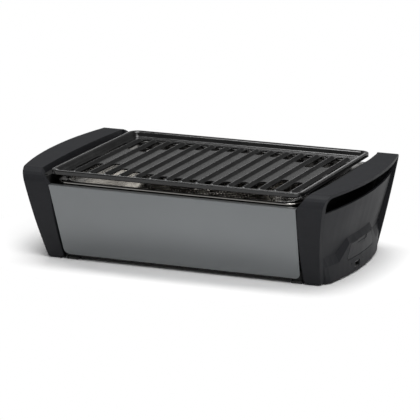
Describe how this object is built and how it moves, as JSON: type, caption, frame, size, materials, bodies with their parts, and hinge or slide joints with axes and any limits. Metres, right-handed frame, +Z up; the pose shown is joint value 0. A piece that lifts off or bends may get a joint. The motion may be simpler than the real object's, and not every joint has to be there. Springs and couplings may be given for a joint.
{
  "type": "charcoal grill",
  "caption": "Table-top charcoal grill with a slotted ribbed plate over a steel bowl and perforated basket, fan underneath, wide handles that form the legs, and a battery door.",
  "frame": {"origin": "on the table under the middle of the grill", "axes": "+X to the end with the battery door and USB socket, -Y to the front, +Z up"},
  "size_m": [0.4438, 0.2746, 0.123],
  "materials": {
    "anthracite_plastic": "fine grain, dark grey",
    "dark_plastic": "matt black",
    "panel_paint": "satin mid grey",
    "polished_steel": "polished stainless",
    "black_enamel": "glossy black enamel",
    "zinc_steel": "zinc plated",
    "rubber": "matt black",
    "contact_brass": "bright",
    "cell_wrap": "printed-free sleeve",
    "circuit_board": "green lacquer",
    "lead_sleeve": "soft red sleeve"
  },
  "bodies": {
    "base": {"handle_strap_right": "anthracite_plastic", "handle_strap_left": "anthracite_plastic", "end_cover_right": "anthracite_plastic", "end_cover_left": "anthracite_plastic", "end_liner_right": "dark_plastic", "end_liner_left": "dark_plastic", "base_pan": "dark_plastic", "inlet_grille": "dark_plastic", "fan_housing": "dark_plastic", "battery_box": "dark_plastic", "speed_control": "dark_plastic", "front_panel": "panel_paint", "back_panel": "panel_paint", "heat_shield": "zinc_steel", "base_screw_1": "zinc_steel", "base_screw_2": "zinc_steel", "base_screw_3": "zinc_steel", "base_screw_4": "zinc_steel", "fan_motor": "zinc_steel", "usb_socket": "zinc_steel", "foot_pad_1": "rubber", "foot_pad_2": "rubber", "foot_pad_3": "rubber", "foot_pad_4": "rubber", "battery_contact_inner": "contact_brass", "battery_cell_1": "cell_wrap", "battery_cell_2": "cell_wrap", "battery_cell_3": "cell_wrap", "battery_cell_4": "cell_wrap", "usb_board": "circuit_board", "control_board": "circuit_board", "battery_lead": "lead_sleeve", "usb_lead": "lead_sleeve", "motor_lead": "lead_sleeve", "speed_control_lead": "lead_sleeve"},
    "bowl": {"bowl": "polished_steel"},
    "starter_dish": {"fire_starter_dish": "polished_steel"},
    "basket": {"charcoal_basket": "polished_steel"},
    "grate": {"grate": "black_enamel"},
    "fan": {"fan_shaft": "zinc_steel", "fan_impeller": "dark_plastic"},
    "battery_door": {"battery_door": "anthracite_plastic", "battery_contact_door": "contact_brass"},
    "speed_knob": {"speed_knob": "anthracite_plastic"}
  },
  "joints": [
    {"name": "bowl_lift", "type": "slide", "parent": "base", "child": "bowl", "axis": [0, 0, 1], "range_m": [0, 0.15]},
    {"name": "dish_lift", "type": "slide", "parent": "bowl", "child": "starter_dish", "axis": [0, 0, 1], "range_m": [0, 0.06]},
    {"name": "basket_lift", "type": "slide", "parent": "starter_dish", "child": "basket", "axis": [0, 0, 1], "range_m": [0, 0.08]},
    {"name": "grate_lift", "type": "slide", "parent": "basket", "child": "grate", "axis": [0, 0, 1], "range_m": [0, 0.1]},
    {"name": "battery_door_hinge", "type": "hinge", "parent": "base", "child": "battery_door", "pos_m": [0.20304, 0, 0.0233], "axis": [0, 1, 0], "range_deg": [0, 70]},
    {"name": "speed_knob_turn", "type": "hinge", "parent": "base", "child": "speed_knob", "pos_m": [-0.20417, 0, 0.027], "axis": [-1, 0, 0], "range_deg": [0, 270]},
    {"name": "fan_spin", "type": "hinge", "parent": "base", "child": "fan", "pos_m": [0, 0, 0.0368], "axis": [0, 0, 1], "continuous": true}
  ]
}
